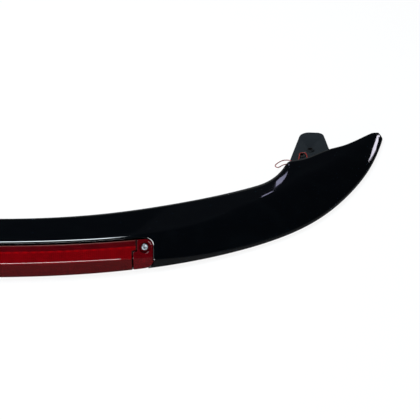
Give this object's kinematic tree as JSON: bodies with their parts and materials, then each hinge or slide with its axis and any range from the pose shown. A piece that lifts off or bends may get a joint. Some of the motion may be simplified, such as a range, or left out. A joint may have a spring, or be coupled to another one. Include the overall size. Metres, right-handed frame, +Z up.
{
  "type": "car rear spoiler",
  "caption": "Gloss black trunk-lid lip spoiler with forward-swept horns, a red stop lamp under the lip, and matte mounting brackets with threaded inserts.",
  "frame": {"origin": "middle of the plan, on the plane of the foam tape's lower face", "axes": "+X across the car to its right, +Y forward (towards the horn tips), +Z up off the trunk lid"},
  "size_m": [1.1588, 0.3691, 0.052],
  "materials": {
    "gloss_black": "polished black paint under clear coat",
    "black_panel": "grained black",
    "bracket_grey": "moulded, matte dark grey",
    "lens_red": "clear red, polished",
    "housing_black": "moulded",
    "reflector_silver": "metallised",
    "board_green": "solder mask",
    "led_body": "moulded",
    "resistor_black": "fired",
    "steel": "zinc plated",
    "brass": "turned",
    "foam": "closed-cell foam",
    "rubber": "moulded",
    "wire_red": "extruded",
    "wire_black": "extruded",
    "plug_white": "moulded nylon"
  },
  "bodies": {
    "root": {"upper_shell": "gloss_black", "base_panel": "black_panel", "base_screws": "steel", "lens": "lens_red", "lens_end_left": "lens_red", "lens_end_right": "lens_red", "lamp_housing": "housing_black", "lamp_gasket": "rubber", "reflector": "reflector_silver", "led_board": "board_green", "leds": "led_body", "board_resistors": "resistor_black", "lamp_screws": "steel", "lamp_screw_inserts": "brass", "bracket_left": "bracket_grey", "bracket_right": "bracket_grey", "bracket_inserts": "brass", "bracket_screws": "steel", "bracket_grommet": "rubber", "front_tape": "foam", "rear_tape": "foam", "pad_gasket_left": "foam", "pad_gasket_right": "foam", "lamp_gland": "rubber", "lamp_lead": "wire_black", "lead_clips": "housing_black", "lead_bush": "rubber", "wire_red": "wire_red", "wire_black": "wire_black", "lead_connector": "plug_white", "connector_terminals": "brass"}
  },
  "joints": []
}
